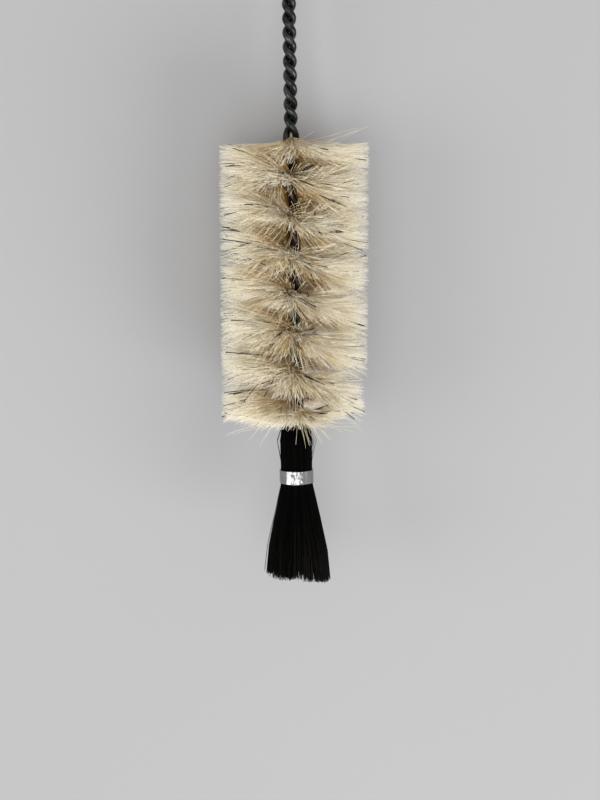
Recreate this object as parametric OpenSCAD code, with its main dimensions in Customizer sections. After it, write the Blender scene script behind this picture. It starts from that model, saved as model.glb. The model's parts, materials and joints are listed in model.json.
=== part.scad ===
// Bottle brush: one steel wire folded at a hanging loop and twisted on itself, a
// bristle head and a hair tuft gripped on it, and a metal band round the tuft.
// Each piece is drawn about the brush's axis, with s running from the tuft's tips
// (s = 0) to the end of the loop (s = total_l). lay_down() then lays it as it rests on
// the plane z = 0: on the head's rim and the end of the loop, with the handle along +Y.

/* [Overall] */
// Length from the tips of the tuft to the end of the hanging loop
total_l = 400; // [330:1:520]

/* [Wire] */
// Diameter of the wire that both strands are made of
wire_d = 2.55; // [1.6:0.05:3.2]
// Length of one full turn of the handle's twist, nearly: it is rounded to whole half turns
shank_pitch = 10.2; // [10.2:0.1:18]
// Length over which the twist tightens where it leaves the head
tighten_l = 6; // [3:0.5:12]

/* [Hanging loop] */
// Clear width inside the loop
loop_inner_w = 15.5; // [10:0.5:26]
// Bend radius where each strand turns out of the twist, at the wire's centre
loop_neck_r = 9; // [5:0.5:16]
// Length over which the twist opens before the loop
open_l = 8; // [4:0.5:14]

/* [Bristle head] */
// Diameter that the bristles are trimmed to
head_d = 55; // [30:1:80]
// Length of the bristled stretch
head_l = 105; // [60:1:140]
// Length of one full turn of the bristle spiral
head_pitch = 28; // [18:1:44]
// Thickness of the bristles where the two strands grip them
grip_t = 0.9; // [0.7:0.05:1.4]
// Half angle that the bristles spread to, seen along the brush
head_fan = 12; // [6:1:24]
// How far the lowest bristle tips are pressed flat by the brush's own weight
rest_sink = 1; // [0.5:0.1:3]

/* [Tip tuft] */
// Length from the tips of the tuft to the end of the head
tuft_l = 56; // [40:1:80]
// Diameter of the tuft's cut end
tuft_tip_d = 23.4; // [14:0.2:34]
// Diameter of the hair under the band
tuft_waist_d = 11.7; // [8:0.1:16]
// Power of the curve that the tuft flares by, from the band to its tips
tuft_flare = 1.1; // [0.8:0.05:2]
// Length of the rounded shoulder where the hair folds over
shoulder_l = 6; // [3:0.5:10]
// Clear radius left round the wire at the top of the shoulder
shoulder_lip = 0.4; // [0.2:0.1:0.8]
// Depth of the wire's cut ends behind the tips of the tuft
wire_end_depth = 25; // [15:1:32]

/* [Band] */
// Distance from the tips of the tuft to the middle of the band
band_s = 36.7; // [28:0.1:48]
// Width of the band, along the brush
band_w = 4.8; // [3:0.1:8]
// Thickness of the band's sheet
band_t = 0.4; // [0.2:0.05:0.8]
// Angle over which the band's outer end laps its inner end
lap_angle = 30; // [10:1:60]

/* [Fits] */
// Clearance between the wire and the bristles or hair that it grips
grip_gap = 0.25; // [0.15:0.01:0.3]
// Clearance between the band and the hair, and between the tuft and the bristle head
seat_gap = 0.05; // [0.02:0.01:0.2]
// Clearance between the two strands where they lie together
strand_gap = 0.04; // [0.02:0.01:0.1]

/* [Hidden] */

wire_r = wire_d / 2;
head_r = head_d / 2;
head_start = tuft_l;
head_end = tuft_l + head_l;
wire_tip = wire_end_depth;

// Distance of a strand's centre from the brush's axis: laid together, and parted by bristles
closed_r = wire_r + strand_gap / 2;
parted_r = wire_r + grip_t / 2;

// Hanging loop: a round bow joined to the twist by two bends, in the plane y = 0
bow_r = loop_inner_w / 2 + wire_r;
bow_s = total_l - wire_r - bow_r;
neck_rise = sqrt(pow(loop_neck_r + bow_r, 2) - pow(closed_r + loop_neck_r, 2));
neck_s = bow_s - neck_rise;
neck_angle = atan2(neck_rise, closed_r + loop_neck_r);

// Twist rates in degrees a millimetre. From the head to the loop the twist makes whole
// half turns, so that the loop lies level while a row of bristles points straight down
// at the head's end.
head_rate = 360 / head_pitch;
shank_run = neck_s - head_end - tighten_l / 2 - open_l / 2;
tighten_turn = head_rate * tighten_l / 2;
half_turns = round((360 / shank_pitch * shank_run + tighten_turn) / 180);
shank_rate = (180 * half_turns - tighten_turn) / shank_run;

// How it rests: the tilt that sets the end of the bow on the plane, and the head's rim
// rest_sink below it
rest_reach = total_l - wire_r - head_end;
rest_tilt = acos((wire_r + rest_sink) / norm([head_r, rest_reach])) - atan2(rest_reach, head_r);
rest_z = (total_l - wire_r) * sin(rest_tilt) + wire_r;
// The middle of its length, between the tuft's lower rim and the end of the bow
front_y = -tuft_tip_d / 2 * sin(rest_tilt);
back_y = (total_l - wire_r) * cos(rest_tilt) + wire_r;
rest_y = -(front_y + back_y) / 2;

wire_sides = 8;
shank_step = 360 / shank_rate / 10;
head_step = head_pitch / 14;
bend_steps = 6;
bow_steps = 24;
rim_steps = 3;
// Thin slices keep the flat web clear of the strands that turn with it
slice_l = 0.7;
skirt_steps = 10;
shoulder_steps = 5;

// Integral at s of a rate that ramps from 0 at a to 1 at b
function ramp(s, a, b) =
    s < a ? 0 : s < b ? pow(s - a, 2) / (2 * (b - a)) : s - (a + b) / 2;

// Twist gathered from s = 0, and the turn of the strands at s, left-handed
function gathered(s) =
    head_rate * s
    + (shank_rate - head_rate) * ramp(s, head_end, head_end + tighten_l)
    - shank_rate * ramp(s, neck_s - open_l, neck_s);
function turn(s) = gathered(neck_s) - gathered(s);

// Smooth step from 0 at a to 1 at b
function ease(s, a, b) =
    let (t = min(1, max(0, (s - a) / (b - a)))) t * t * (3 - 2 * t);

// A strand's distance from the axis: parted in the head, laid together outside it
function strand_r(s) =
    closed_r + (parted_r - closed_r)
    * (ease(s, head_start - tighten_l, head_start) - ease(s, head_end, head_end + tighten_l));

// Places along a strand from its cut end to the loop's neck
function spaced(a, b, step) =
    let (n = ceil((b - a) / step)) [for (i = [0 : n - 1]) a + (b - a) * i / n];
strand_places = concat(
    spaced(wire_tip, head_end, head_step),
    spaced(head_end, head_end + tighten_l, shank_step * 1.5),
    spaced(head_end + tighten_l, neck_s, shank_step),
    [neck_s]
);

// A path point is [centre, outward direction]
function strand_point(s, side) =
    let (a = turn(s) + side, out = [cos(a), sin(a), 0]) [strand_r(s) * out + [0, 0, s], out];
function bend_point(side, a) =
    let (out = [side * cos(a), 0, -sin(a)])
    [[side * (closed_r + loop_neck_r), 0, neck_s] - loop_neck_r * out, out];
function bow_point(a) =
    let (out = [cos(a), 0, sin(a)]) [[0, 0, bow_s] + bow_r * out, out];

wire_path = concat(
    [for (s = strand_places) strand_point(s, 180)],
    [for (i = [1 : bend_steps]) bend_point(-1, neck_angle * i / bend_steps)],
    [for (i = [1 : bow_steps]) bow_point(180 + neck_angle - (180 + 2 * neck_angle) * i / bow_steps)],
    [for (i = [bend_steps - 1 : -1 : 0]) bend_point(1, neck_angle * i / bend_steps)],
    [for (i = [len(strand_places) - 2 : -1 : 0]) strand_point(strand_places[i], 0)]
);

function unit(v) = v / norm(v);

// One ring of the wire's surface, square to the path
function wire_ring(i) =
    let (
        last = len(wire_path) - 1,
        along = unit(wire_path[min(i + 1, last)][0] - wire_path[max(i - 1, 0)][0]),
        across = unit(cross(along, wire_path[i][1])),
        out = cross(across, along)
    )
    [for (k = [0 : wire_sides - 1])
        wire_path[i][0] + wire_r * (cos(360 * k / wire_sides) * out + sin(360 * k / wire_sides) * across)];

// Lays a piece down from its own axis to where it rests
module lay_down() {
    translate([0, rest_y, rest_z]) rotate([-90 - rest_tilt, 0, 0]) children();
}

module core_wire() {
    rings = [for (i = [0 : len(wire_path) - 1]) wire_ring(i)];
    points = [for (ring = rings) each ring];
    last = (len(rings) - 1) * wire_sides;
    sides = [
        for (i = [0 : len(rings) - 2], k = [0 : wire_sides - 1])
            let (
                a = i * wire_sides + k,
                b = i * wire_sides + (k + 1) % wire_sides,
                c = b + wire_sides,
                d = a + wire_sides
            )
            each [[a, b, c], [a, c, d]]
    ];
    cut_ends = [
        [for (k = [wire_sides - 1 : -1 : 0]) k],
        [for (k = [0 : wire_sides - 1]) last + k]
    ];
    color([0.16, 0.17, 0.17]) lay_down() polyhedron(points, concat(sides, cut_ends));
}

// Section through the head: a web between the strands that fans out to the rim on both sides
module bristle_section() {
    web = [wire_r + grip_t, grip_t / 2 - grip_gap];
    rim = [for (i = [rim_steps : -1 : -rim_steps])
        head_r * [cos(head_fan * i / rim_steps), sin(head_fan * i / rim_steps)]];
    half = concat([web], rim, [[web.x, -web.y]]);
    polygon(concat(half, -half));
}

module head_bristles() {
    color([0.85, 0.78, 0.64]) difference() {
        lay_down() translate([0, 0, head_start]) rotate([0, 0, turn(head_start) + 90])
            linear_extrude(height = head_l, twist = head_rate * head_l, slices = ceil(head_l / slice_l))
                bristle_section();
        // The tips pressed flat on the plane that it rests on
        translate([-head_r, rest_y, -2 * rest_sink]) cube([head_d, total_l, 2 * rest_sink]);
    }
}

// Outline of the tuft on one side: flared skirt, waist under the band, shoulder, wire's hole
module tuft_section() {
    waist_r = tuft_waist_d / 2;
    tip_r = tuft_tip_d / 2;
    skirt_top = band_s - band_w / 2;
    top = tuft_l - seat_gap;
    hole_r = wire_d + grip_t / 2 + grip_gap;
    lip_r = hole_r + shoulder_lip;
    // The strands lean, so a cut end reaches a little past its centre
    hole_end = wire_tip - wire_r;
    polygon(concat(
        [[0, 0]],
        [for (i = [0 : skirt_steps])
            let (t = i / skirt_steps)
            [waist_r + (tip_r - waist_r) * pow(1 - t, tuft_flare), skirt_top * t]],
        [for (i = [0 : shoulder_steps])
            let (a = 90 * i / shoulder_steps)
            [lip_r + (waist_r - lip_r) * cos(a), top - shoulder_l + shoulder_l * sin(a)]],
        [[hole_r, top], [hole_r, hole_end], [0, hole_end]]
    ));
}

module tip_tuft() {
    color([0.05, 0.05, 0.05]) lay_down() rotate_extrude($fn = 96) tuft_section();
}

module tuft_band() {
    inner_r = tuft_waist_d / 2 + seat_gap;
    outer_r = inner_r + band_t;
    color([0.8, 0.8, 0.8]) lay_down()
        translate([0, 0, band_s - band_w / 2])
            linear_extrude(height = band_w) {
                difference() {
                    circle(r = outer_r, $fn = 96);
                    circle(r = inner_r, $fn = 96);
                }
                intersection() {
                    difference() {
                        circle(r = outer_r + band_t, $fn = 96);
                        circle(r = outer_r - band_t / 2, $fn = 96);
                    }
                    rotate(-90 - lap_angle / 2)
                        polygon(outer_r * 2 * [[0, 0], [1, 0], [cos(lap_angle), sin(lap_angle)]]);
                }
            }
}

core_wire();
head_bristles();
tip_tuft();
tuft_band();
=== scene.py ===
"""Bottle brush: a twisted wire handle with a hanging loop, a natural bristle head and a
banded tuft of black hair, laid on a plain floor.

Every piece is worked out about the brush's own axis, where s runs from the tuft's tips
(s = 0) to the end of the loop, and is then laid where the frame says that the brush rests.
"""

import json
import math

import bmesh
import bpy
import numpy as np
from bpy.props import FloatProperty, FloatVectorProperty, IntProperty, PointerProperty
from bpy.types import Operator, Panel, PropertyGroup
from mathutils import Matrix, Vector, noise


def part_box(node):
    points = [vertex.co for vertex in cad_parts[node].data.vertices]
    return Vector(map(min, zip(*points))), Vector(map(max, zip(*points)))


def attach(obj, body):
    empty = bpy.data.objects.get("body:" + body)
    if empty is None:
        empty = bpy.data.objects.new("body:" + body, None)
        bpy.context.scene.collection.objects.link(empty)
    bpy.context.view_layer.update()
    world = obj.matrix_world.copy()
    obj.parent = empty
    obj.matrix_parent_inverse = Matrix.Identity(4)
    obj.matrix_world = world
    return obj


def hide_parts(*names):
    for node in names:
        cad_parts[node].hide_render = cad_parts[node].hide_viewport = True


bl_info = {
    "name": "Bottle Brush",
    "version": (1, 0, 0),
    "blender": (4, 5, 0),
    "location": "View3D > Sidebar > Brush",
    "description": "Builds a twisted-wire bottle brush, bristle by bristle",
    "category": "Add Mesh",
}

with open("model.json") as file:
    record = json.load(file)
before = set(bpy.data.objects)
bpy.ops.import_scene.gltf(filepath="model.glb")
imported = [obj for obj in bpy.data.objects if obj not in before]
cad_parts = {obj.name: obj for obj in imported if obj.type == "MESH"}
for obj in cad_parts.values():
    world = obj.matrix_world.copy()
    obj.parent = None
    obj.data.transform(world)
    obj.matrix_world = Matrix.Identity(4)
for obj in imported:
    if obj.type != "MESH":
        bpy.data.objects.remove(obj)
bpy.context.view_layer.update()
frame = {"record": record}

BODY = "root"
MM = 0.001
FILAMENT_SIDES = 3
FILAMENT_UV = "OFBake"
HEAD_SEED = 41
TUFT_SEED = 73

# Each soft light's place, disk size, power in watts and tint. All face the middle of the view
LIGHTS = {
    "key": ((-0.95, -0.10, 0.78), 0.75, 4.9, (1.0, 0.98, 0.95)),
    "front": ((-0.08, -0.15, 1.3), 1.0, 7.2, (1.0, 0.99, 0.97)),
    "fill": ((0.85, -0.9, 0.8), 1.0, 14.5, (1.0, 0.99, 0.98)),
}


def box_width(node):
    """How far a CAD node reaches across the brush."""
    low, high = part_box(node)
    return high.x - low.x


def length(name, value, description):
    return FloatProperty(name=name, description=description, default=value, min=0.0,
                         precision=5, subtype="DISTANCE", unit="LENGTH")


def angle(name, degrees, description):
    return FloatProperty(name=name, description=description, default=math.radians(degrees),
                         subtype="ANGLE", unit="ROTATION")


def share(name, value, description):
    return FloatProperty(name=name, description=description, default=value,
                         min=0.0, max=1.0, subtype="FACTOR")


def colour(name, value, description):
    return FloatVectorProperty(name=name, description=description, default=value,
                               size=3, min=0.0, max=1.0, subtype="COLOR")


# ---------------------------------------------------------------- settings

class BrushSizes(PropertyGroup):
    """The brush's own sizes, as its construction has them."""
    overall_length: length("Overall length", 0.4, "From the tuft's tips to the loop's end")
    wire_diameter: length("Wire diameter", 0.00255, "Diameter of the wire of both strands")
    shank_pitch: length("Handle twist", 0.0102, "Length of one full turn along the handle")
    tighten_length: length("Tightening", 0.006, "Length over which the twist tightens")
    strand_gap: length("Strand gap", 0.00004, "Clearance between the strands")
    loop_width: length("Loop width", 0.0155, "Clear width inside the hanging loop")
    loop_neck_radius: length("Loop neck", 0.009, "Bend where a strand leaves the twist")
    open_length: length("Opening", 0.008, "Length over which the twist opens before the loop")
    head_diameter: length("Head diameter", box_width("head_bristles"),
                          "Diameter that the bristles are trimmed to")
    head_length: length("Head length", 0.105, "Length of the bristled stretch")
    head_pitch: length("Head twist", 0.028, "Length of one full turn of the bristle spiral")
    grip: length("Grip", 0.0009, "How far the bristles part the strands")
    tuft_length: length("Tuft length", 0.056, "From the tuft's tips to the bristle head")
    tuft_tip_diameter: length("Tuft tip", box_width("tip_tuft"), "Across the tuft's cut end")
    tuft_waist_diameter: length("Tuft waist", 0.0117, "Across the hair under the band")
    tuft_flare: FloatProperty(name="Flare", default=1.1,
                              description="Power of the curve that the tuft flares by")
    shoulder_length: length("Shoulder", 0.006, "Height of the rounded top of the tuft")
    wire_end_depth: length("Wire end", 0.025, "Depth of the cut ends behind the tuft's tips")
    band_place: length("Band place", 0.0367, "From the tuft's tips to the band's middle")
    band_width: length("Band width", 0.0048, "Width of the band along the brush")
    band_thickness: length("Band sheet", 0.0004, "Thickness of the band's sheet")
    lap_angle: angle("Lap", 30, "Angle over which the band's ends lap")


class BristleLook(PropertyGroup):
    """How the pale head bristles grow, fan and hang together."""
    pieces: IntProperty(name="Pieces", description="Pieces that the filling is split into",
                        default=4, min=1)
    count: IntProperty(name="Bristles", description="Bristles in each piece", default=5200)
    dark_count: IntProperty(name="Dark bristles", description="Dark-tipped bristles mixed in",
                            default=280)
    lock_size: IntProperty(name="Lock size", description="Bristles that cling together",
                           default=5)
    strays: share("Strays", 0.02, "Share of the bristles that stray from the rest")
    thickness: length("Thickness", 0.00021, "Diameter of a bristle near its root")
    tip_width: share("Tip width", 0.35, "Width of a bristle's tip against its root's")
    dark_thickness: length("Dark thickness", 0.00043, "Diameter of a dark bristle")
    dark_tip_width: share("Dark tip width", 0.8, "Width of a dark tip against its root's")
    swing: angle("Swing", 16, "Spread round the wire")
    fan: length("Fan", 0.0041, "How far tips spread along the brush from their row")
    loose_place: length("Loose place", 0.0005, "Spread of a lock's roots along the brush")
    loose_swing: angle("Loose swing", 5, "Spread of a lock's bristles round the wire")
    loose_lean: length("Loose lean", 0.0009, "Spread of a lock's tips along the brush")
    cling: share("Cling", 0.65, "How close the tightest locks draw together")
    bow: length("Bow", 0.00035, "How far bristles bow off a straight line")
    ragged: share("Ragged", 0.022, "How unevenly the bristles are trimmed")
    short_share: share("Short bristles", 0.35, "Share of the bristles that end below the rim")
    shortest: share("Shortest", 0.72, "Length of the shortest of those against the others'")
    face_depth: length("End face", 0.002, "Depth of the tips behind the faces at the head's ends")
    face_ragged: length("Ragged face", 0.0015, "How unevenly tips fill those faces")
    stray_length: length("Stray length", 0.004, "How far strays reach past the head's ends")
    droop: angle("Droop", 9, "Lean towards the tuft of the rows nearest to it")
    end_droop: angle("End droop", 9, "Further lean of the last rows before the tuft")
    end_length: length("End rows", 0.024, "Length of the stretch with the further lean")
    overhang: length("Overhang", 0.0012, "How far the last tips hang over the tuft")
    worn_side: angle("Worn side", 17.2, "Direction in which the last rows are worn down")
    worn_droop: angle("Worn droop", 9, "Lean of the last rows on the worn side")
    worn_share: share("Wear", 0.08, "How much shorter the last rows are on the worn side")
    worn_setback: length("Worn setback", 0.0025, "How far the worn side stands back from the tuft")
    push_tuft: length("Push at the tuft", 0.00055, "How far the rim is pushed left at the tuft")
    push_loop: length("Push at the handle", 0.0011, "How far it is pushed right at the handle")
    clean: share("Clean", 0.74, "How clean the bristles are on the whole")
    patches: FloatProperty(name="Patches", default=110, min=0.0,
                           description="Stained patches in a metre")
    patchiness: share("Patchiness", 0.8, "How much cleaner or dirtier a patch is")
    mottle: share("Mottle", 0.2, "How much one bristle's stain differs from the next one's")
    # Darkens bristles near the gap between two rows: partly stain, partly painted shade between
    # the rows
    row_gap_stain_and_shade: share("Stain between rows", 0.55, "How much dirtier the bristles between rows are")
    # The root and stain colours below are partly real stain and partly painted shade deep in the
    # head by the wire
    root_stain_and_shade: colour("Root", (0.25, 0.115, 0.018), "Dark roots by the wire")
    stain_colour: colour("Stain", (0.62, 0.36, 0.085), "Stained stretch above the roots")
    shaft_colour: colour("Shaft", (0.89, 0.74, 0.42), "Wet shaft")
    tip_colour: colour("Tip", (0.87, 0.83, 0.71), "Pale tip")
    dark_colour: colour("Dark tip", (0.007, 0.0055, 0.005), "Dark tips")


class TuftLook(PropertyGroup):
    """How the black hair of the tuft lies."""
    count: IntProperty(name="Hairs", description="Hairs in the tuft", default=3700)
    lock_size: IntProperty(name="Lock size", description="Hairs that cling together",
                           default=26)
    thickness: length("Thickness", 0.00022, "Diameter of a hair")
    tip_width: share("Tip width", 0.6, "Width of a hair's tip against its root's")
    ragged: length("Ragged", 0.0013, "How unevenly the hair is cut")
    past_end: length("Past the end", 0.0032, "How far the longest hairs pass the tuft's length")
    slant: length("Slant", 0.0026, "How much longer the cut end is on one side")
    notch: length("Notch", 0.0019, "Depth of the notch in the cut end")
    strays: share("Strays", 0.02, "Share of the hairs that stand out of the skirt")
    arches: share("Arches", 0.006, "Share of the hairs that arch out of the rounded top")
    colour: colour("Hair", (0.0006, 0.0006, 0.0006), "Black hair")
    # Lighter hair tips: fading from use and a painted sheen
    worn_and_sheen_colour: colour("Worn hair", (0.017, 0.016, 0.015), "Hair faded by use")


class MetalLook(PropertyGroup):
    """Finishes of the wire and of the band."""
    wire_colour: colour("Wire", (0.015, 0.018, 0.017), "Blackened steel")
    wire_bright: colour("Rubbed wire", (0.092, 0.099, 0.097), "Steel where the black is worn")
    stain_colour: colour("Stain", (0.16, 0.09, 0.035), "Brown stain between the bristles")
    band_colour: colour("Band", (0.33, 0.34, 0.35), "Bright metal strip")


class StageLook(PropertyGroup):
    """The floor, the light and the camera."""
    floor_colour: colour("Floor", (0.336, 0.341, 0.356), "Pale floor")
    sky_colour: colour("Sky", (1.0, 0.965, 0.92), "Even light from all sides")
    sky_strength: FloatProperty(name="Sky strength", default=0.74, min=0.0,
                                description="Strength of the even light")
    view_height: FloatProperty(name="View height", unit="LENGTH", default=0.295,
                               description="Height of the stretch in view at the brush")
    view_angle: angle("View angle", 22, "Upright angle of view")
    view_middle: length("View middle", 0.065, "Place on the brush at the middle of the view")
    view_side: length("View side", 0.0017, "How far the camera stands to the right of the brush")
    view_rise: angle("View rise", 8, "How far the camera is raised towards the handle")
    view_lean: angle("View lean", 0.92, "How far the brush leans in the view")


# ---------------------------------------------------------------- the brush's axis

class Brush:
    """Places and turns along the brush, worked out from its sizes and from the frame."""

    def __init__(self, sizes):
        self.wire_r = sizes.wire_diameter / 2
        self.head_r = sizes.head_diameter / 2
        self.head_start = sizes.tuft_length
        self.head_end = sizes.tuft_length + sizes.head_length
        self.tighten = sizes.tighten_length
        self.wire_tip = sizes.wire_end_depth
        self.closed_r = self.wire_r + sizes.strand_gap / 2
        self.parted_r = self.wire_r + sizes.grip / 2
        self.neck_r = sizes.loop_neck_radius
        self.bow_r = sizes.loop_width / 2 + self.wire_r
        self.bow_s = sizes.overall_length - self.wire_r - self.bow_r
        rise = math.sqrt((self.neck_r + self.bow_r) ** 2 - (self.closed_r + self.neck_r) ** 2)
        self.neck_s = self.bow_s - rise
        self.neck_angle = math.atan2(rise, self.closed_r + self.neck_r)
        self.open_length = sizes.open_length
        # Twist rates in radians a metre, with whole half turns from the head to the loop
        self.head_rate = 2 * math.pi / sizes.head_pitch
        run = self.neck_s - self.head_end - self.tighten / 2 - self.open_length / 2
        tightening = self.head_rate * self.tighten / 2
        half_turns = round((2 * math.pi / sizes.shank_pitch * run + tightening) / math.pi)
        self.shank_rate = (math.pi * half_turns - tightening) / run
        # Where the brush rests: the loop's middle and its flat side give the axis
        mounts = {mount["name"]: mount for mount in frame["record"]["mounts"]}
        loop = mounts["hanging_loop"]
        upward = Vector(loop["axis"]).normalized()
        across = Vector((1.0, 0.0, 0.0))
        along = upward.cross(across)
        start = Vector(loop["pos_m"]) - along * self.bow_s
        self.lay = Matrix((across, -upward, along)).transposed().to_4x4()
        self.lay.translation = start
        self.up_angle = -math.pi / 2

    def gathered(self, s):
        """Twist gathered from s = 0."""
        def ramp(a, b):
            rising = (s - a) ** 2 / (2 * (b - a))
            return np.where(s < a, 0.0, np.where(s < b, rising, s - (a + b) / 2))

        return (self.head_rate * s
                + (self.shank_rate - self.head_rate) * ramp(self.head_end,
                                                            self.head_end + self.tighten)
                - self.shank_rate * ramp(self.neck_s - self.open_length, self.neck_s))

    def turn(self, s):
        """Direction of the first strand at s. It falls as s grows: a left-hand twist."""
        return self.gathered(np.asarray(self.neck_s)) - self.gathered(np.asarray(s, float))

    def strand_r(self, s):
        """A strand's distance from the axis: parted in the head, laid together outside it."""
        parting = (ease(s, self.head_start - self.tighten, self.head_start)
                   - ease(s, self.head_end, self.head_end + self.tighten))
        return self.closed_r + (self.parted_r - self.closed_r) * parting


def ease(s, a, b):
    """Smooth step from 0 at a to 1 at b."""
    t = np.clip((np.asarray(s, float) - a) / (b - a), 0.0, 1.0)
    return t * t * (3 - 2 * t)


def outward(turn):
    """Unit vectors square to the axis, at an angle."""
    return np.stack([np.cos(turn), np.sin(turn), np.zeros_like(turn)], axis=-1)


def at(turn, radius, s):
    """Points at an angle, a distance from the axis and a place along it."""
    points = outward(turn) * np.asarray(radius)[..., None]
    points[..., 2] = s
    return points


# ---------------------------------------------------------------- helpers

def finish_piece(mesh, name, node, material):
    """Adds a mesh to the scene as a piece that stands for a CAD node."""
    piece = bpy.data.objects.new(name, mesh)
    bpy.context.scene.collection.objects.link(piece)
    mesh.materials.clear()
    mesh.materials.append(material)
    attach(piece, BODY)
    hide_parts(node)
    return piece


def curve_mesh(curve):
    """The mesh of a bevelled curve, with its ends closed and its faces pointing outwards."""
    holder = bpy.data.objects.new("holder", curve)
    bpy.context.scene.collection.objects.link(holder)
    evaluated = holder.evaluated_get(bpy.context.evaluated_depsgraph_get())
    mesh = bpy.data.meshes.new_from_object(evaluated)
    bpy.data.objects.remove(holder)
    bpy.data.curves.remove(curve)
    shape = bmesh.new()
    shape.from_mesh(mesh)
    rim = [edge for edge in shape.edges if edge.is_boundary]
    bmesh.ops.holes_fill(shape, edges=rim, sides=0)
    bmesh.ops.recalc_face_normals(shape, faces=shape.faces)
    shape.to_mesh(mesh)
    shape.free()
    mesh.shade_smooth()
    return mesh


def filament_profile():
    """The three-sided section that every bristle and hair has."""
    profile = bpy.data.curves.new("section", "CURVE")
    profile.dimensions = "2D"
    ring = profile.splines.new("POLY")
    ring.points.add(FILAMENT_SIDES - 1)
    for i, point in enumerate(ring.points):
        turn = 2 * math.pi * i / FILAMENT_SIDES
        point.co = (math.cos(turn), math.sin(turn), 0.0, 1.0)
    ring.use_cyclic_u = True
    return bpy.data.objects.new("section", profile)


def filament_mesh(paths, radii, shades, brush):
    """One tapered, closed filament along each path. The piece's own UV map runs along a
    filament from 0 at its root to 1 at its tip, and across holds the filament's shade."""
    count, rings, _ = paths.shape
    curve = bpy.data.curves.new("filaments", "CURVE")
    curve.dimensions = "3D"
    curve.resolution_u = 1
    curve.bevel_mode = "OBJECT"
    section = filament_profile()
    bpy.context.scene.collection.objects.link(section)
    curve.bevel_object = section
    points = np.ones((count, rings, 4))
    points[:, :, :3] = paths
    for path, radius in zip(points, radii):
        spline = curve.splines.new("POLY")
        spline.points.add(rings - 1)
        spline.points.foreach_set("co", path.ravel())
        spline.points.foreach_set("radius", radius)
    mesh = curve_mesh(curve)
    bpy.data.curves.remove(section.data)
    # Laid down, with the lowest filaments pressed flat on the floor
    mesh.transform(brush.lay)
    places = np.empty(len(mesh.vertices) * 3, np.float32)
    mesh.vertices.foreach_get("co", places)
    places = places.reshape(-1, 3)
    places[:, 2] = np.maximum(places[:, 2], 0.0)
    mesh.vertices.foreach_set("co", places.ravel())
    # The mesh comes filament by filament, and ring by ring along each
    while mesh.uv_layers:
        mesh.uv_layers.remove(mesh.uv_layers[0])
    layer = mesh.uv_layers.new(name=FILAMENT_UV)
    corner = np.empty(len(mesh.loops), np.int32)
    mesh.loops.foreach_get("vertex_index", corner)
    side = corner % FILAMENT_SIDES
    ring = corner // FILAMENT_SIDES % rings
    filament = corner // (FILAMENT_SIDES * rings)
    # A narrow triangle, clear of the map's edges, so that no face is flat on the map
    edge, span, spread = 0.01, 0.97, 0.004
    along = edge + span * ring / (rings - 1) + spread * (side == 1)
    across = edge + span * shades[filament] + spread * (side == 2)
    layer.data.foreach_set("uv", np.stack([along, across], axis=-1).astype(np.float32).ravel())
    mesh.update()
    return mesh


# ---------------------------------------------------------------- materials

class Nodes:
    """Short hand for laying out a material's nodes."""

    def __init__(self, name):
        self.material = bpy.data.materials.new(name)
        self.material.use_nodes = True
        self.tree = self.material.node_tree
        self.shader = self.tree.nodes["Principled BSDF"]

    def add(self, kind, **settings):
        node = self.tree.nodes.new(kind)
        for key, value in settings.items():
            setattr(node, key, value)
        return node

    def link(self, source, target):
        self.tree.links.new(source, target)

    def set(self, **values):
        """Sets sockets of the shader, named with underscores for spaces."""
        for key, value in values.items():
            self.shader.inputs[key.replace("_", " ")].default_value = value

    def ramp(self, source, stops):
        """Colours at places between 0 and 1, blended in between."""
        node = self.add("ShaderNodeValToRGB")
        elements = node.color_ramp.elements
        while len(elements) < len(stops):
            elements.new(0.5)
        for element, (place, value) in zip(elements, stops):
            element.position = place
            element.color = (*value, 1.0)
        self.link(source, node.inputs["Fac"])
        return node.outputs["Color"]

    def noise(self, vector, scale, detail=3.0, roughness=0.55):
        """Noise with about as many features in a metre as its scale says."""
        node = self.add("ShaderNodeTexNoise")
        node.inputs["Scale"].default_value = scale
        node.inputs["Detail"].default_value = detail
        node.inputs["Roughness"].default_value = roughness
        self.link(vector, node.inputs["Vector"])
        return node.outputs["Fac"]

    def mix(self, factor, first, second, blend="MIX"):
        """Mixes two colours. A factor, or a colour, may be a value or a socket."""
        node = self.add("ShaderNodeMix", data_type="RGBA", blend_type=blend)
        for key, value in (("Factor", factor), ("A", first), ("B", second)):
            socket = next(s for s in node.inputs if s.name == key and s.enabled)
            if isinstance(value, bpy.types.NodeSocket):
                self.link(value, socket)
            elif key == "Factor":
                socket.default_value = value
            else:
                socket.default_value = (*value, 1.0)
        return next(s for s in node.outputs if s.enabled)

    def bump(self, height, distance, strength=1.0):
        node = self.add("ShaderNodeBump")
        node.inputs["Distance"].default_value = distance
        node.inputs["Strength"].default_value = strength
        self.link(height, node.inputs["Height"])
        self.link(node.outputs["Normal"], self.shader.inputs["Normal"])

    def object_place(self):
        return self.add("ShaderNodeTexCoord").outputs["Object"]

    def filament_place(self):
        """How far along its filament, and the shade of the filament."""
        uv = self.add("ShaderNodeUVMap", uv_map=FILAMENT_UV)
        split = self.add("ShaderNodeSeparateXYZ")
        self.link(uv.outputs["UV"], split.inputs["Vector"])
        return split.outputs["X"], split.outputs["Y"]


def tinted(value, factor):
    """A colour made lighter or darker."""
    return tuple(min(1.0, part * factor) for part in value)


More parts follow.
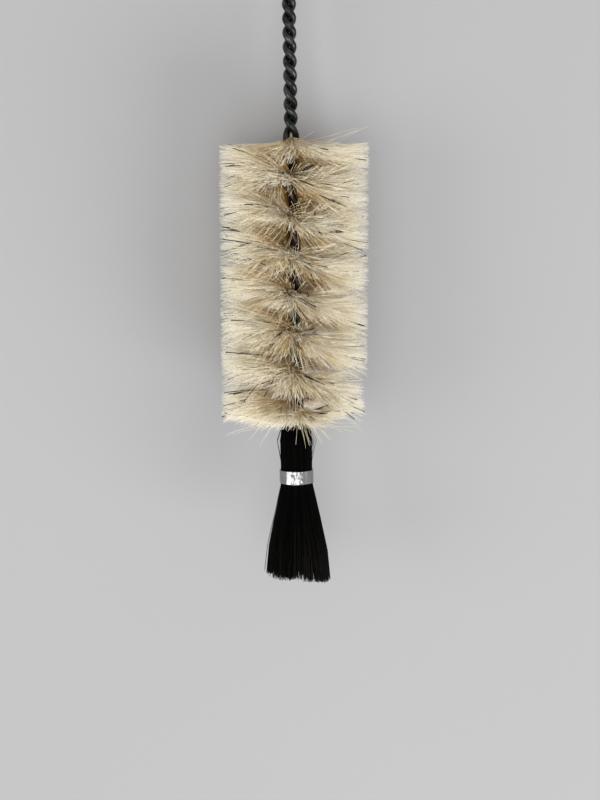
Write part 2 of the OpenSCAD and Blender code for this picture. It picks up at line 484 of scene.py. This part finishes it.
def pale_bristle_material(look):
    """Natural bristle, brown at the root and pale at the tip: the brown is partly stain and partly
    painted shade deep in the head by the wire. Each is clean or dirty, and bristles near the gap
    between rows are darker with stain and painted shade.
    """
    nodes = Nodes("pale_bristle")
    along, shade = nodes.filament_place()
    root, stain = look.root_stain_and_shade, look.stain_colour
    shaft, tip = look.shaft_colour, look.tip_colour
    # Both ramps darken towards the root: stain and painted shade near the wire
    stain_and_shade_ramp = nodes.ramp(along, [(0.2, root), (0.36, tinted(stain, 0.6)),
                                 (0.52, tinted(stain, 1.15)), (0.75, tinted(shaft, 0.94)),
                                 (1.0, tinted(tip, 0.95))])
    clean = nodes.ramp(along, [(0.08, root), (0.18, stain), (0.30, shaft),
                               (0.50, tinted(tip, 1.06)), (1.0, tinted(tip, 0.96))])
    # Low shade picks the darker ramp: dirty patches, and painted shade between the rows
    nodes.link(nodes.mix(shade, stain_and_shade_ramp, clean), nodes.shader.inputs["Base Color"])
    nodes.set(Roughness=0.40, Specular_IOR_Level=0.45)
    return nodes.material


def dark_bristle_material(look):
    """Bristle that is dark for its whole length, or only at its tip."""
    nodes = Nodes("dark_bristle")
    along, shade = nodes.filament_place()
    root, shaft, dark = look.root_stain_and_shade, look.shaft_colour, look.dark_colour
    # Darker by the root: stain and painted shade near the wire
    half = nodes.ramp(along, [(0.0, root), (0.35, tinted(shaft, 0.7)),
                              (0.70, tinted(shaft, 0.5)), (0.80, dark), (1.0, dark)])
    full = nodes.ramp(along, [(0.0, root), (0.3, tinted(root, 0.8)), (0.5, dark), (1.0, dark)])
    nodes.link(nodes.mix(shade, half, full), nodes.shader.inputs["Base Color"])
    nodes.set(Roughness=0.5, Specular_IOR_Level=0.04)
    return nodes.material


def black_hair_material(look):
    """Black hair, some of it lighter towards its cut end: partly fading from use and partly a
    painted sheen.
    """
    nodes = Nodes("black_hair")
    along, shade = nodes.filament_place()
    # Lighter towards the cut end: fading from use and a painted sheen
    faded_and_sheen = nodes.ramp(along, [(0.0, look.colour), (0.7, tinted(look.worn_and_sheen_colour, 0.25)),
                               (1.0, look.worn_and_sheen_colour)])
    nodes.link(nodes.mix(shade, look.colour, faded_and_sheen), nodes.shader.inputs["Base Color"])
    nodes.set(Roughness=0.5, Specular_IOR_Level=0.02)
    return nodes.material


def wire_material(look, brush):
    """Blackened steel, rubbed bright in places and with a brown stain between the bristles."""
    nodes = Nodes("blackened_wire")
    place = nodes.object_place()
    rubbed = nodes.ramp(nodes.noise(place, 260.0, 4.0, 0.6),
                        [(0.46, (0, 0, 0)), (0.74, (1, 1, 1))])
    metal = nodes.mix(rubbed, look.wire_colour, look.wire_bright)
    split = nodes.add("ShaderNodeSeparateXYZ")
    nodes.link(place, split.inputs["Vector"])
    reach = nodes.add("ShaderNodeMapRange", interpolation_type="SMOOTHSTEP")
    head_end_y = (brush.lay @ Vector((0, 0, brush.head_end))).y
    reach.inputs["From Min"].default_value = head_end_y + 4 * MM
    reach.inputs["From Max"].default_value = head_end_y - 10 * MM
    nodes.link(split.outputs["Y"], reach.inputs["Value"])
    patches = nodes.ramp(nodes.noise(place, 420.0, 3.0), [(0.4, (0.0,) * 3), (0.7, (0.5,) * 3)])
    stain = nodes.mix(reach.outputs["Result"], (0, 0, 0), patches)
    nodes.link(nodes.mix(stain, metal, look.stain_colour), nodes.shader.inputs["Base Color"])
    rough = nodes.ramp(nodes.noise(place, 900.0, 3.0), [(0.3, (0.15,) * 3), (0.7, (0.30,) * 3)])
    nodes.link(rough, nodes.shader.inputs["Roughness"])
    nodes.set(Metallic=0.8)
    nodes.bump(nodes.noise(place, 2600.0, 2.0), 0.00004, 0.35)
    return nodes.material


def band_material(look):
    """Bright strip with fine marks running round it."""
    nodes = Nodes("bright_band")
    place = nodes.object_place()
    dull = nodes.ramp(nodes.noise(place, 700.0, 4.0), [(0.35, (0, 0, 0)), (0.75, (1, 1, 1))])
    nodes.link(nodes.mix(dull, look.band_colour, tinted(look.band_colour, 0.72)),
               nodes.shader.inputs["Base Color"])
    rough = nodes.ramp(nodes.noise(place, 1500.0, 3.0), [(0.3, (0.16,) * 3), (0.75, (0.30,) * 3)])
    nodes.link(rough, nodes.shader.inputs["Roughness"])
    nodes.set(Metallic=1.0)
    stretched = nodes.add("ShaderNodeMapping")
    stretched.inputs["Scale"].default_value = (300.0, 5200.0, 300.0)
    nodes.link(place, stretched.inputs["Vector"])
    nodes.bump(nodes.noise(stretched.outputs["Vector"], 1.0, 2.0), 0.00002, 0.5)
    return nodes.material


def floor_material(look):
    """Plain matt floor with a trace of unevenness."""
    nodes = Nodes("pale_floor")
    cloud = nodes.noise(nodes.object_place(), 3.0, 2.0)
    nodes.link(nodes.mix(cloud, tinted(look.floor_colour, 0.97), tinted(look.floor_colour, 1.03)),
               nodes.shader.inputs["Base Color"])
    nodes.set(Roughness=0.85, Specular_IOR_Level=0.2)
    return nodes.material


# ---------------------------------------------------------------- pieces

def wire_path(brush):
    """Centre line of the whole wire, from one cut end round the loop to the other."""
    steps_a_turn = 24

    def places(a, b, rate):
        steps = max(2, math.ceil((b - a) * rate / (2 * math.pi) * steps_a_turn))
        return np.linspace(a, b, steps, endpoint=False)

    loose, tight = brush.head_rate * 1.5, brush.shank_rate
    s = np.concatenate([places(brush.wire_tip, brush.head_end, loose),
                        places(brush.head_end, brush.neck_s, tight), [brush.neck_s]])
    strands = [at(brush.turn(s) + side, brush.strand_r(s), s) for side in (math.pi, 0.0)]
    bend = np.linspace(0, brush.neck_angle, 12)[1:]
    corner = brush.closed_r + brush.neck_r

    def bends(side):
        return np.stack([side * (corner - brush.neck_r * np.cos(bend)), np.zeros_like(bend),
                         brush.neck_s + brush.neck_r * np.sin(bend)], axis=-1)

    sweep = np.linspace(math.pi + brush.neck_angle, -brush.neck_angle, 72)[1:-1]
    bow = np.stack([brush.bow_r * np.cos(sweep), np.zeros_like(sweep),
                    brush.bow_s + brush.bow_r * np.sin(sweep)], axis=-1)
    return np.concatenate([strands[0], bends(-1), bow, bends(1)[::-1], strands[1][::-1]])


class BRUSH_OT_wire(Operator):
    """Twist the wire, from its cut ends in the tuft to the hanging loop"""
    bl_idname = "bottle_brush.wire"
    bl_label = "Wire"

    def execute(self, context):
        settings = context.scene.bottle_brush
        brush = Brush(settings.sizes)
        path = wire_path(brush)
        curve = bpy.data.curves.new("wire", "CURVE")
        curve.dimensions = "3D"
        curve.bevel_depth = brush.wire_r
        curve.bevel_resolution = 6
        spline = curve.splines.new("POLY")
        spline.points.add(len(path) - 1)
        spline.points.foreach_set("co", np.column_stack([path, np.ones(len(path))]).ravel())
        mesh = curve_mesh(curve)
        mesh.transform(brush.lay)
        finish_piece(mesh, "twisted_wire", "core_wire",
                     wire_material(settings.metal, brush))
        return {"FINISHED"}


def spread(rng, size, limit, count):
    """Random offsets with a bell curve's spread, none more than limit times its size."""
    return rng.normal(0, size, count).clip(-limit * size, limit * size)


def bristle_paths(brush, look, count, lock_size, rng):
    """Centre lines of the head's bristles, each from the grip between the strands to the rim,
    with each root's place along the brush and how near it is to the gap between two rows."""
    start, end, rim = brush.head_start, brush.head_end, brush.head_r
    locks = max(1, count // lock_size)
    lock = rng.integers(locks, size=count)
    stray = rng.random(count) < look.strays

    def grown(s, side, swing, lean, reach, level):
        """Where bristles start and end: direction, place along the axis and distance from it."""
        web = brush.turn(s) + math.pi / 2 + side
        # Rows near the tuft lean further, and most on the side that is worn down
        ending = 1 - ease(s, start, start + look.end_length)
        worn = ending * np.clip(np.cos(web + swing - look.worn_side), 0, 1)
        droop = look.droop * (end - s) / (end - start) + look.end_droop * ending
        droop += look.worn_droop * worn
        reach = reach * (1 - look.worn_share * worn)
        # Nothing but strays grows past the head's ends: those tips crowd in behind its faces
        low = start + level - look.overhang + look.worn_setback * worn
        high = end - level
        crowding = 0.4
        tip_s = s + lean - reach * np.sin(droop)
        tip_s = np.where(tip_s > high, high - crowding * (tip_s - high), tip_s)
        tip_s = np.where(tip_s < low, low + crowding * (low - tip_s), tip_s)
        return np.stack([web, s, web + swing, tip_s, reach * np.cos(droop)])

    lead_s = rng.uniform(start, end, locks)
    lead_side = rng.integers(2, size=locks) * math.pi
    lead_swing = spread(rng, look.swing, 2.2, locks)
    lead_lean = spread(rng, look.fan, 2.1, locks)
    # How near each lock comes to the gap between two rows
    lead_edge = ease(np.abs(lead_lean) * brush.head_rate, math.radians(35), math.radians(90))
    lead_lean -= lead_swing / brush.head_rate
    lead_level = look.face_depth + np.abs(rng.normal(0, look.face_ragged, locks))
    full = np.full(locks, rim)
    lead = grown(lead_s, lead_side, lead_swing, lead_lean, full, lead_level)[:, lock]

    s = (lead_s[lock] + rng.normal(0, look.loose_place, count)).clip(start, end)
    swing = lead_swing[lock] + rng.normal(0, look.loose_swing, count) * (1 + 2 * stray)
    lean = lead_lean[lock] + rng.normal(0, look.loose_lean, count) * (1 + 4 * stray)
    reach = rim * (1 - np.abs(rng.normal(0, look.ragged, count)))
    short = rng.random(count) < look.short_share
    reach[short] *= rng.uniform(look.shortest, 0.97, short.sum())
    level = lead_level[lock] + rng.normal(0, 0.5 * MM, count)
    level = np.where(stray, -look.stray_length, level)
    own = grown(s, lead_side[lock], swing, lean, reach, level)

    cling = rng.uniform(0.0, look.cling, locks)[lock] * ~stray
    leave = brush.parted_r + brush.wire_r + rng.uniform(0.0, 0.4, count) * MM
    bow = rng.normal(0, look.bow, (2, count))
    # The rim has been pushed a little to one side at the tuft, and to the other at the handle
    handleward = (s - start) / (end - start)
    push = look.push_loop * handleward - look.push_tuft * (1 - handleward)
    paths = [at(own[0], np.full(count, 0.3 * MM), s)]
    for t in (0.0, 0.2, 0.45, 0.73, 1.0):
        pull = cling * t ** 1.5
        swung, leaned = 0.5 + 0.5 * t, t ** 1.1
        lead_turn = lead[0] + (lead[2] - lead[0]) * swung
        lead_place = lead[1] + (lead[3] - lead[1]) * leaned
        turn = own[0] + (own[2] - own[0]) * swung
        place = own[1] + (own[3] - own[1]) * leaned
        radius = leave + (own[4] - leave) * t
        wave = math.sin(math.pi * t)
        turn = turn + (lead_turn - turn) * pull + bow[0] / rim * wave
        place = place + (lead_place - place) * pull + bow[1] * wave
        points = at(turn, radius, place)
        points[:, 0] += push * t ** 2
        paths.append(points)
    return np.stack(paths, axis=1), s, lead_edge[lock]


def taper(thickness, rings, tip_width, rng, count):
    """Radii along each filament, each filament a little thicker or thinner than the next."""
    line = thickness / 2 * (1 - (1 - tip_width) * np.linspace(0, 1, rings) ** 1.5)
    return line[None, :] * rng.uniform(0.8, 1.2, count)[:, None]


class BRUSH_OT_head(Operator):
    """Fill the head with pale bristles and a few dark ones"""
    bl_idname = "bottle_brush.head"
    bl_label = "Bristle head"

    def execute(self, context):
        settings = context.scene.bottle_brush
        brush = Brush(settings.sizes)
        look = settings.bristles
        rng = np.random.default_rng(HEAD_SEED)
        total = look.pieces * look.count
        paths, root_s, edge = bristle_paths(brush, look, total, look.lock_size, rng)
        order = np.argsort(root_s, kind="stable")
        material = pale_bristle_material(look)
        for part in range(look.pieces):
            chosen = order[part * look.count:(part + 1) * look.count]
            radii = taper(look.thickness, paths.shape[1], look.tip_width, rng, look.count)
            # Dirty bristles stand together in patches, and bristles near the gap between two rows
            # are darker still: partly stain and partly painted shade between the rows
            patch = np.array([noise.noise(Vector(tip) * look.patches)
                              for tip in paths[chosen, -1]])
            shades = look.clean + look.patchiness * patch - look.row_gap_stain_and_shade * edge[chosen]
            shades += rng.normal(0, look.mottle, look.count)
            mesh = filament_mesh(paths[chosen], radii, shades.clip(0, 1), brush)
            finish_piece(mesh, f"head_bristles_{part + 1}", "head_bristles",
                         material)
        paths, _, _ = bristle_paths(brush, look, look.dark_count, 1, rng)
        radii = taper(look.dark_thickness, paths.shape[1], look.dark_tip_width, rng,
                      look.dark_count)
        mesh = filament_mesh(paths, radii, rng.random(look.dark_count), brush)
        finish_piece(mesh, "head_bristles_dark", "head_bristles",
                     dark_bristle_material(look))
        return {"FINISHED"}


def tuft_outline(sizes, s):
    """The tuft's outer radius at s: shoulder, waist and flared skirt."""
    waist = sizes.tuft_waist_diameter / 2
    skirt_top = sizes.band_place - sizes.band_width / 2
    lip = sizes.wire_diameter + sizes.grip
    free = 1 - np.clip(s / skirt_top, 0, 1)
    flare = free ** sizes.tuft_flare + 0.15 * np.sin(math.pi * free ** 1.4)
    skirt = waist + (sizes.tuft_tip_diameter / 2 - waist) * flare
    shoulder_s = sizes.tuft_length - sizes.shoulder_length
    height = np.clip((s - shoulder_s) / sizes.shoulder_length, 0, 1)
    shoulder = lip + (waist - lip) * np.sqrt(1 - height ** 2)
    return np.where(s < skirt_top, skirt, shoulder)


def tuft_paths(brush, sizes, look, rng):
    """Centre lines of the tuft's hairs, folded over at the top and held by the band."""
    count = look.count
    locks = count // look.lock_size
    lock = rng.integers(locks, size=count)
    # Locks are more crowded towards the outside, and the deeper ones spread wider
    lead_turn = rng.uniform(0, 2 * math.pi, locks)
    lead_depth = rng.random(locks) ** 0.42
    turn = lead_turn[lock] + rng.normal(0, 0.30, count) / (0.35 + lead_depth[lock])
    depth = 1 - np.abs(1 - np.abs(lead_depth[lock] + rng.normal(0, 0.14, count)))
    # The cut end slants a little, has a notch on top, and each lock ends in its own line
    slant = look.slant / 2 * (1 - np.cos(turn))
    off_top = (turn - brush.up_angle + math.pi) % (2 * math.pi) - math.pi
    notch = look.notch * depth * np.exp(-((off_top - 0.1) / 0.3) ** 2)
    tip_s = slant + notch - look.past_end + np.abs(rng.normal(0, look.ragged, locks))[lock]
    tip_s += np.abs(rng.normal(0, 0.4 * MM, count))
    stray = 1 + 0.35 * rng.random(count) * (rng.random(count) < look.strays)
    top = sizes.tuft_length - 0.2 * MM
    band_top = sizes.band_place + sizes.band_width / 2
    band_bottom = sizes.band_place - sizes.band_width / 2
    stations = [top - sizes.shoulder_length * part for part in (0.0, 0.12, 0.45, 1.0)]
    stations = [np.full(count, s) for s in (*stations, band_top, band_bottom)]
    stations += [band_bottom + (tip_s - band_bottom) * t for t in (0.35, 0.7, 1.0)]
    hold = rng.uniform(0.2, 0.75, locks)[lock]
    wander = rng.normal(0, 0.05, count)
    # A few hairs arch out of the rounded top
    arch = rng.uniform(0.8, 3.2, count) * MM * (rng.random(count) < look.arches)
    paths = []
    for s in stations:
        inner = np.where(s > brush.wire_tip, 2 * brush.wire_r + 0.2 * MM, 0.0)
        free = np.clip((band_bottom - s) / band_bottom, 0, 1)
        outer = tuft_outline(sizes, s) - look.thickness / 2 + 0.5 * MM * free
        own = (inner + (outer - inner) * depth) * (1 + (stray - 1) * free)
        cling = hold * free ** 1.5
        radius = own + (inner + (outer - inner) * lead_depth[lock] - own) * cling
        swing = turn + (lead_turn[lock] - turn) * cling + wander * free
        # Above the band the hair is a little loose, and bulges unevenly
        rise = np.clip((s - band_top) / (top - band_top), 0, 1)
        radius += np.where(s > band_top, 0.25 * MM * (depth - 0.6), 0.0)
        radius += arch * np.sin(math.pi * rise)
        paths.append(at(swing, radius, s))
    return np.stack(paths, axis=1)


class BRUSH_OT_tuft(Operator):
    """Fold the black hair over the wire's end, and cut it"""
    bl_idname = "bottle_brush.tuft"
    bl_label = "Tip tuft"

    def execute(self, context):
        settings = context.scene.bottle_brush
        brush = Brush(settings.sizes)
        look = settings.tuft
        rng = np.random.default_rng(TUFT_SEED)
        paths = tuft_paths(brush, settings.sizes, look, rng)
        radii = taper(look.thickness, paths.shape[1], look.tip_width, rng, look.count)
        mesh = filament_mesh(paths, radii, rng.beta(1.2, 2.4, look.count), brush)
        finish_piece(mesh, "tuft_hair", "tip_tuft", black_hair_material(look))
        return {"FINISHED"}


class BRUSH_OT_band(Operator):
    """Bend the metal strip round the tuft, and lap and crimp its ends"""
    bl_idname = "bottle_brush.band"
    bl_label = "Band"

    def execute(self, context):
        settings = context.scene.bottle_brush
        sizes = settings.sizes
        brush = Brush(sizes)
        lap = sizes.lap_angle
        sheet = sizes.band_thickness
        inner = sizes.tuft_waist_diameter / 2 + 0.05 * MM
        full_turn = 2 * math.pi
        shape = bmesh.new()
        bmesh.ops.create_grid(shape, x_segments=200, y_segments=14, size=0.5)
        for vert in shape.verts:
            along = vert.co.x + 0.5
            across = vert.co.y
            swept = along * (full_turn + lap)
            turn = brush.up_angle + lap / 2 - swept
            # The outer end steps up by the sheet's thickness as it comes to the lap
            climb = float(ease(swept, full_turn - lap * 0.5, full_turn))
            radius = inner + 1.02 * sheet * climb
            lapped = max(float(ease(swept, full_turn - lap * 0.3, full_turn)),
                         1 - float(ease(swept, lap, lap * 1.3)))
            # Deep and fine creases at the lap, flutes all round and a drawn-in middle
            place = Vector((turn * 5.5, across * 4.2, 3.7))
            crease = noise.noise(place) * 0.16 + noise.noise(place * 2.7) * 0.11
            waist = 0.05 * (1 - (2 * across) ** 2)
            flute = noise.noise(Vector((turn * 4.5, across * 0.4, 9.1))) * 0.12
            radius += MM * (lapped * crease + flute - waist)
            vert.co = Vector((radius * math.cos(turn), radius * math.sin(turn),
                              sizes.band_place + across * sizes.band_width))
        bmesh.ops.recalc_face_normals(shape, faces=shape.faces)
        bmesh.ops.solidify(shape, geom=shape.faces[:], thickness=-sheet)
        bmesh.ops.recalc_face_normals(shape, faces=shape.faces)
        mesh = bpy.data.meshes.new("tuft_band")
        shape.to_mesh(mesh)
        shape.free()
        mesh.shade_smooth()
        mesh.set_sharp_from_angle(angle=math.radians(50))
        mesh.transform(brush.lay)
        finish_piece(mesh, "crimped_band", "tuft_band",
                     band_material(settings.metal))
        return {"FINISHED"}


# ---------------------------------------------------------------- stage

def add_soft_light(name, place, size, power, tint, target):
    """A round soft light that faces the target."""
    place = Vector(place)
    data = bpy.data.lights.new(name, "AREA")
    data.shape = "DISK"
    data.size = size
    data.energy = power
    data.color = tint
    light = bpy.data.objects.new(name, data)
    light.location = place
    light.rotation_euler = (target - place).to_track_quat("-Z", "Y").to_euler()
    bpy.context.scene.collection.objects.link(light)


def add_camera(look, brush, target):
    """A camera over the target, raised towards the handle and turned a little."""
    along = brush.lay.to_3x3() @ Vector((0, 0, 1))
    upward = brush.lay.to_3x3() @ Vector((0, -1, 0))
    distance = look.view_height / 2 / math.tan(look.view_angle / 2)
    backward = upward * math.cos(look.view_rise) + along * math.sin(look.view_rise)
    right = along.cross(backward).normalized()
    up = backward.cross(right)
    data = bpy.data.cameras.new("camera")
    data.sensor_fit = "VERTICAL"
    data.angle = look.view_angle
    data.clip_start = 0.01
    camera = bpy.data.objects.new("camera", data)
    lean = -look.view_lean
    leaned_right = right * math.cos(lean) + up * math.sin(lean)
    leaned_up = up * math.cos(lean) - right * math.sin(lean)
    camera.matrix_world = Matrix((leaned_right, leaned_up, backward)).transposed().to_4x4()
    camera.location = target + backward * distance + leaned_right * look.view_side
    bpy.context.scene.collection.objects.link(camera)
    bpy.context.scene.camera = camera


class BRUSH_OT_stage(Operator):
    """Add the pale floor, the soft light and the camera"""
    bl_idname = "bottle_brush.stage"
    bl_label = "Stage"

    def execute(self, context):
        settings = context.scene.bottle_brush
        look = settings.stage
        brush = Brush(settings.sizes)
        shape = bmesh.new()
        bmesh.ops.create_grid(shape, x_segments=1, y_segments=1, size=2.5)
        mesh = bpy.data.meshes.new("floor")
        shape.to_mesh(mesh)
        shape.free()
        mesh.materials.append(floor_material(look))
        floor = bpy.data.objects.new("floor", mesh)
        context.scene.collection.objects.link(floor)

        middle = brush.lay @ Vector((0, 0, look.view_middle))
        add_camera(look, brush, middle)
        for name, values in LIGHTS.items():
            add_soft_light(name, *values, middle)
        world = bpy.data.worlds.new("world")
        world.use_nodes = True
        background = world.node_tree.nodes["Background"]
        background.inputs["Color"].default_value = (*look.sky_colour, 1.0)
        background.inputs["Strength"].default_value = look.sky_strength
        context.scene.world = world
        context.scene.view_settings.view_transform = "Standard"
        return {"FINISHED"}


# ---------------------------------------------------------------- add-on

class BrushSettings(PropertyGroup):
    """All that a user may change."""
    sizes: PointerProperty(type=BrushSizes)
    bristles: PointerProperty(type=BristleLook)
    tuft: PointerProperty(type=TuftLook)
    metal: PointerProperty(type=MetalLook)
    stage: PointerProperty(type=StageLook)


OPERATORS = (BRUSH_OT_wire, BRUSH_OT_head, BRUSH_OT_tuft, BRUSH_OT_band, BRUSH_OT_stage)


class BRUSH_PT_panel(Panel):
    """Lists the pieces and their settings"""
    bl_idname = "BRUSH_PT_panel"
    bl_label = "Bottle Brush"
    bl_space_type = "VIEW_3D"
    bl_region_type = "UI"
    bl_category = "Brush"

    def draw(self, context):
        settings = context.scene.bottle_brush
        for operator in OPERATORS:
            self.layout.operator(operator.bl_idname)
        for group in (settings.sizes, settings.bristles, settings.tuft, settings.metal,
                      settings.stage):
            box = self.layout.box()
            for name in group.bl_rna.properties.keys():
                if name not in ("rna_type", "name"):
                    box.prop(group, name)


CLASSES = (BrushSizes, BristleLook, TuftLook, MetalLook, StageLook, BrushSettings,
           *OPERATORS, BRUSH_PT_panel)


def register():
    for cls in CLASSES:
        bpy.utils.register_class(cls)
    bpy.types.Scene.bottle_brush = PointerProperty(type=BrushSettings)


def unregister():
    del bpy.types.Scene.bottle_brush
    for cls in reversed(CLASSES):
        bpy.utils.unregister_class(cls)


def main():
    register()
    bpy.ops.bottle_brush.wire()
    bpy.ops.bottle_brush.head()
    bpy.ops.bottle_brush.tuft()
    bpy.ops.bottle_brush.band()
    bpy.ops.bottle_brush.stage()


if __name__ == "__main__":
    main()
